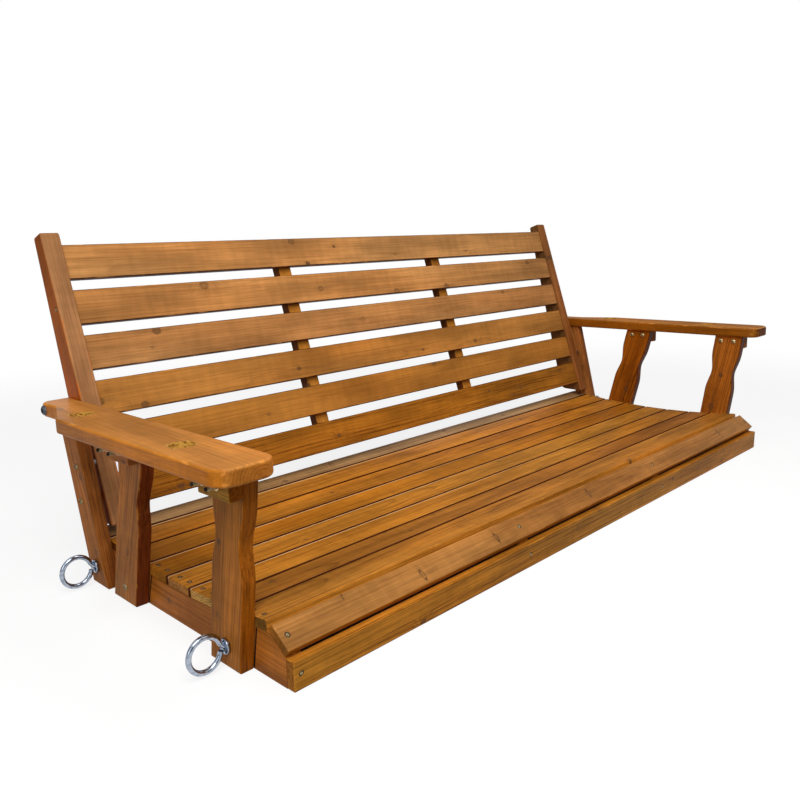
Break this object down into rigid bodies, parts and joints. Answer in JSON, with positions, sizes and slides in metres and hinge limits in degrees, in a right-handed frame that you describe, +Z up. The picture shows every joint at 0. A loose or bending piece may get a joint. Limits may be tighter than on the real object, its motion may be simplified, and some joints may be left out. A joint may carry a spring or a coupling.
{
  "type": "porch swing",
  "caption": "Slatted wooden porch swing bench with a dished seat, tilted back, armrests with chain holes, and turning steel eye bolts for hanging chains.",
  "frame": {"origin": "on the level that the rails stand on, under the middle of the box round the swing", "axes": "+X along the seat, to the right seen from in front; +Y from the front towards the back; +Z up"},
  "size_m": [1.6674, 0.681, 0.5721],
  "materials": {
    "seat_wood": "stained softwood, semi-gloss, orange-brown with dark grain and knots",
    "back_wood": "stained softwood, semi-gloss, warm brown with fine grain and knots",
    "arm_wood": "stained softwood, semi-gloss, orange-brown with rounded lighter edges",
    "frame_wood": "stained softwood, semi-gloss, darker reddish brown",
    "bright_zinc": "bright zinc-plated steel",
    "yellow_zinc": "yellow-passivated zinc-plated steel, a little dull"
  },
  "bodies": {
    "bench": {"arm_post_bolts": "yellow_zinc", "arm_post_nuts": "yellow_zinc", "arm_post_screws": "yellow_zinc", "arm_tab_bolts": "bright_zinc", "armrest_left": "arm_wood", "armrest_right": "arm_wood", "back_post_left": "frame_wood", "back_post_right": "frame_wood", "back_slat_1": "back_wood", "back_slat_2": "back_wood", "back_slat_3": "back_wood", "back_slat_4": "back_wood", "back_slat_5": "back_wood", "back_slat_6": "back_wood", "back_slat_screws": "yellow_zinc", "back_stile_left": "back_wood", "back_stile_right": "back_wood", "back_strut_left": "frame_wood", "back_strut_right": "frame_wood", "cleat_screws": "yellow_zinc", "frame_screws": "yellow_zinc", "front_apron": "seat_wood", "front_arm_cleat_left": "frame_wood", "front_arm_cleat_right": "frame_wood", "front_arm_post_left": "frame_wood", "front_arm_post_right": "frame_wood", "front_waterfall_slat": "seat_wood", "rear_arm_cleat_left": "frame_wood", "rear_arm_cleat_right": "frame_wood", "rear_arm_post_left": "frame_wood", "rear_arm_post_right": "frame_wood", "rear_rail": "frame_wood", "seat_joist_left": "frame_wood", "seat_joist_right": "frame_wood", "seat_slat_1": "seat_wood", "seat_slat_2": "seat_wood", "seat_slat_3": "seat_wood", "seat_slat_4": "seat_wood", "seat_slat_5": "seat_wood", "seat_slat_6": "seat_wood", "seat_slat_7": "seat_wood", "seat_slat_8": "seat_wood", "seat_slat_screws": "yellow_zinc", "side_rail_left": "frame_wood", "side_rail_right": "frame_wood", "stile_screws": "yellow_zinc", "strut_screws": "yellow_zinc", "strut_spacers": "bright_zinc"},
    "front_left_eye": {"eye_bolt_front_left": "bright_zinc", "eye_washers_front_left": "bright_zinc", "eye_nut_front_left": "bright_zinc"},
    "rear_left_eye": {"eye_bolt_rear_left": "bright_zinc", "eye_washers_rear_left": "bright_zinc", "eye_nut_rear_left": "bright_zinc"},
    "front_right_eye": {"eye_bolt_front_right": "bright_zinc", "eye_washers_front_right": "bright_zinc", "eye_nut_front_right": "bright_zinc"},
    "rear_right_eye": {"eye_bolt_rear_right": "bright_zinc", "eye_washers_rear_right": "bright_zinc", "eye_nut_rear_right": "bright_zinc"}
  },
  "joints": [
    {"name": "front_left_eye_turn", "type": "hinge", "parent": "bench", "child": "front_left_eye", "pos_m": [-0.772, -0.22598, 0.0322], "axis": [1, 0, 0], "continuous": true},
    {"name": "rear_left_eye_turn", "type": "hinge", "parent": "bench", "child": "rear_left_eye", "pos_m": [-0.772, 0.15447, 0.0322], "axis": [1, 0, 0], "continuous": true},
    {"name": "front_right_eye_turn", "type": "hinge", "parent": "bench", "child": "front_right_eye", "pos_m": [0.772, -0.22598, 0.0322], "axis": [1, 0, 0], "continuous": true},
    {"name": "rear_right_eye_turn", "type": "hinge", "parent": "bench", "child": "rear_right_eye", "pos_m": [0.772, 0.15447, 0.0322], "axis": [1, 0, 0], "continuous": true}
  ]
}
